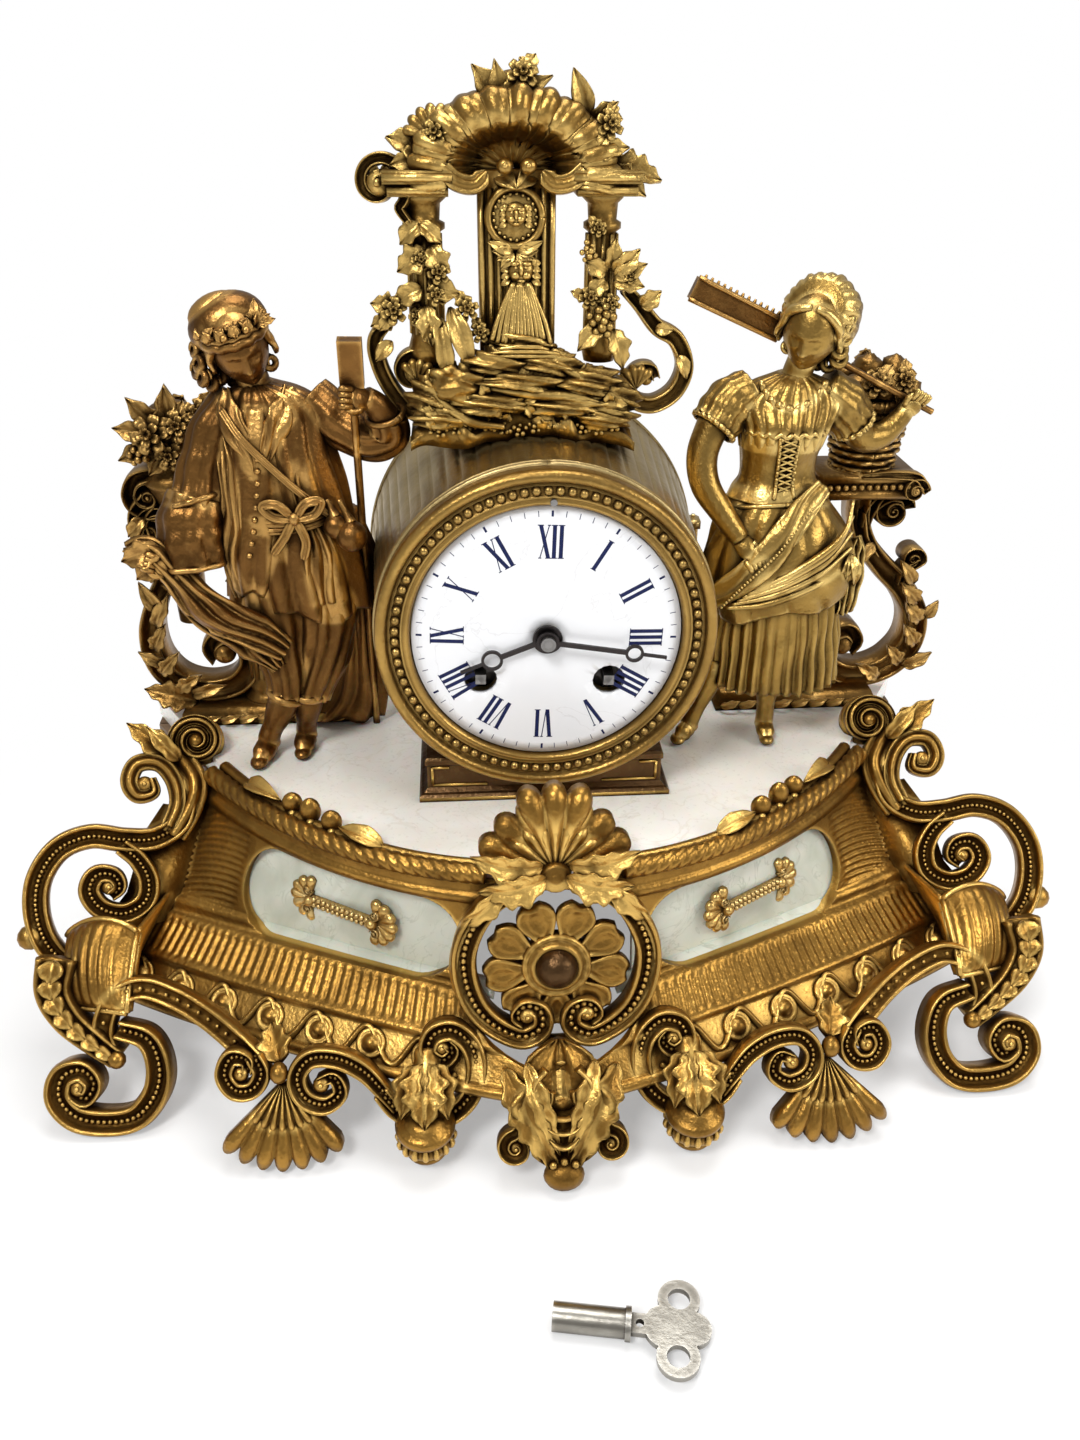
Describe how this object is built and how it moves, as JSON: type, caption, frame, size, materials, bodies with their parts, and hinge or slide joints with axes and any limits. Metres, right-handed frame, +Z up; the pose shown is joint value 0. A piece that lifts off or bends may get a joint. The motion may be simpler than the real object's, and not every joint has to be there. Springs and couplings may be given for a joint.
{
  "type": "figural mantel clock",
  "caption": "Gilt mantel clock: drum case on a bow-fronted stone and scrollwork base, flanked by two garden figures, with a fountain crest and a winding key.",
  "frame": {"origin": "on the table, midway across the base and midway between the rear cover's knob and the winding key", "axes": "+X to the viewer's right, +Y to the back, +Z up"},
  "size_m": [0.3676, 0.2452, 0.3138],
  "materials": {
    "gilt_casting": "aged gilt casting",
    "drum_gilt": "dull grey gilt",
    "bezel_brass": "satin brass",
    "alabaster": "polished white alabaster",
    "window_stone": "veined alabaster",
    "enamel": "gloss enamel",
    "blued_steel": "blued steel",
    "movement_brass": "satin brass",
    "movement_steel": "satin steel",
    "bell_metal": "polished bell metal",
    "case_wood": "stained wood",
    "key_nickel": "worn nickel"
  },
  "bodies": {
    "clock": {"apron": "gilt_casting", "alabaster_slab": "alabaster", "stud_bolts": "movement_steel", "back_panel": "case_wood", "side_panels": "case_wood", "rear_feet": "gilt_casting", "window_panels": "window_stone", "window_mounts": "gilt_casting", "rope_rims": "gilt_casting", "cartouche": "gilt_casting", "corner_scroll_left": "gilt_casting", "corner_scroll_right": "gilt_casting", "shell_foot_left": "gilt_casting", "shell_foot_right": "gilt_casting", "barrel_feet": "gilt_casting", "centre_drop": "gilt_casting", "plinth": "drum_gilt", "drum_case": "drum_gilt", "bezel": "bezel_brass", "dial": "enamel", "dial_backplate": "movement_brass", "front_plate": "movement_brass", "back_plate": "movement_brass", "plate_pillars": "movement_brass", "suspension_cock": "movement_brass", "bell": "bell_metal", "bell_stand": "movement_steel", "case_straps": "movement_brass", "gardener_spade": "gilt_casting", "gardener": "gilt_casting", "rake": "gilt_casting", "harvester": "gilt_casting", "fountain": "gilt_casting", "left_stand": "gilt_casting", "right_stand": "gilt_casting"},
    "cover": {"back_cover": "bezel_brass"},
    "minute": {"minute_hand": "blued_steel", "hand_nut": "movement_brass", "cannon_pinion": "movement_steel"},
    "motion": {"minute_wheel": "movement_brass"},
    "hour": {"hour_hand": "blued_steel", "hour_wheel": "movement_brass"},
    "third": {"third_wheel": "movement_brass"},
    "centre": {"centre_wheel": "movement_brass"},
    "going_drum": {"going_barrel": "movement_brass", "going_mainspring": "movement_steel"},
    "escape": {"escape_wheel": "movement_brass"},
    "pin": {"pin_wheel": "movement_brass"},
    "strike_drum": {"strike_barrel": "movement_brass", "strike_mainspring": "movement_steel"},
    "fly": {"fly": "movement_brass"},
    "going_winder": {"going_arbor": "movement_steel"},
    "strike_winder": {"strike_arbor": "movement_steel"},
    "going_pawl": {"going_click": "movement_steel"},
    "strike_pawl": {"strike_click": "movement_steel"},
    "pendulum": {"pendulum": "movement_brass"},
    "anchor": {"anchor": "movement_steel"},
    "hammer": {"hammer": "movement_steel"},
    "regulator": {"regulator_arbor": "movement_steel"},
    "key": {"winding_key": "key_nickel"}
  },
  "joints": [
    {"name": "minute_hand_turn", "type": "hinge", "parent": "clock", "child": "minute", "pos_m": [0, 0.0331, 0.1516], "axis": [0, 1, 0], "continuous": true},
    {"name": "minute_wheel_turn", "type": "hinge", "parent": "clock", "child": "motion", "pos_m": [-0.00043, 0.0411, 0.13961], "axis": [0, 1, 0], "continuous": true},
    {"name": "hour_hand_turn", "type": "hinge", "parent": "clock", "child": "hour", "pos_m": [0, 0.0381, 0.1516], "axis": [0, 1, 0], "continuous": true},
    {"name": "third_wheel_turn", "type": "hinge", "parent": "clock", "child": "third", "pos_m": [0.00956, 0.0581, 0.16687], "axis": [0, 1, 0], "continuous": true},
    {"name": "centre_wheel_turn", "type": "hinge", "parent": "clock", "child": "centre", "pos_m": [0, 0.0581, 0.1516], "axis": [0, 1, 0], "continuous": true},
    {"name": "going_barrel_turn", "type": "hinge", "parent": "clock", "child": "going_drum", "pos_m": [0.02043, 0.0581, 0.13535], "axis": [0, 1, 0], "continuous": true},
    {"name": "escape_wheel_turn", "type": "hinge", "parent": "clock", "child": "escape", "pos_m": [0.00087, 0.0581, 0.17558], "axis": [0, 1, 0], "continuous": true},
    {"name": "pin_wheel_turn", "type": "hinge", "parent": "clock", "child": "pin", "pos_m": [-0.02515, 0.0581, 0.16272], "axis": [0, 1, 0], "continuous": true},
    {"name": "strike_barrel_turn", "type": "hinge", "parent": "clock", "child": "strike_drum", "pos_m": [-0.02155, 0.0581, 0.13687], "axis": [0, 1, 0], "continuous": true},
    {"name": "fly_turn", "type": "hinge", "parent": "clock", "child": "fly", "pos_m": [-0.02193, 0.0581, 0.17321], "axis": [0, 1, 0], "continuous": true},
    {"name": "going_wind", "type": "hinge", "parent": "clock", "child": "going_winder", "pos_m": [0.02043, 0.0581, 0.13535], "axis": [0, 1, 0], "range_deg": [0, 1800]},
    {"name": "strike_wind", "type": "hinge", "parent": "clock", "child": "strike_winder", "pos_m": [-0.02155, 0.0581, 0.13687], "axis": [0, 1, 0], "range_deg": [0, 1800]},
    {"name": "going_click_lift", "type": "hinge", "parent": "clock", "child": "going_pawl", "pos_m": [0.02861, 0.0411, 0.12655], "axis": [0, 1, 0], "range_deg": [0, 12], "stiffness_Nm_per_rad": 0.002},
    {"name": "strike_click_lift", "type": "hinge", "parent": "clock", "child": "strike_pawl", "pos_m": [-0.03035, 0.0411, 0.12868], "axis": [0, 1, 0], "range_deg": [-12, 0], "stiffness_Nm_per_rad": 0.002},
    {"name": "pendulum_swing", "type": "hinge", "parent": "clock", "child": "pendulum", "pos_m": [0.00133, 0.0801, 0.18838], "axis": [0, 1, 0], "range_deg": [-4, 4]},
    {"name": "anchor_rock", "type": "hinge", "parent": "clock", "child": "anchor", "pos_m": [0.00133, 0.0761, 0.18838], "axis": [0, 1, 0], "range_deg": [-4, 4]},
    {"name": "hammer_lift", "type": "hinge", "parent": "clock", "child": "hammer", "pos_m": [0.0327, 0.0831, 0.17043], "axis": [0, 1, 0], "range_deg": [-15, 0]},
    {"name": "regulator_turn", "type": "hinge", "parent": "clock", "child": "regulator", "pos_m": [0.00162, 0.0531, 0.19657], "axis": [0, 1, 0], "range_deg": [-360, 360]},
    {"name": "back_cover_open", "type": "hinge", "parent": "clock", "child": "cover", "pos_m": [0.0625, 0.1182, 0.1516], "axis": [0, 0, 1], "range_deg": [-100, 0]},
    {"name": "key_lift", "type": "slide", "parent": "clock", "child": "key", "axis": [0, 0, 1], "range_m": [0, 0.1]}
  ],
  "couplings": [
    {"joint": "minute_wheel_turn", "follows": "minute_hand_turn", "ratio": -0.33333},
    {"joint": "hour_hand_turn", "follows": "minute_hand_turn", "ratio": 0.083333},
    {"joint": "centre_wheel_turn", "follows": "third_wheel_turn", "ratio": -0.125},
    {"joint": "going_barrel_turn", "follows": "third_wheel_turn", "ratio": 0.017857},
    {"joint": "escape_wheel_turn", "follows": "third_wheel_turn", "ratio": -7.5},
    {"joint": "strike_barrel_turn", "follows": "pin_wheel_turn", "ratio": -0.14286},
    {"joint": "fly_turn", "follows": "pin_wheel_turn", "ratio": -7},
    {"joint": "anchor_rock", "follows": "pendulum_swing", "ratio": 1}
  ]
}
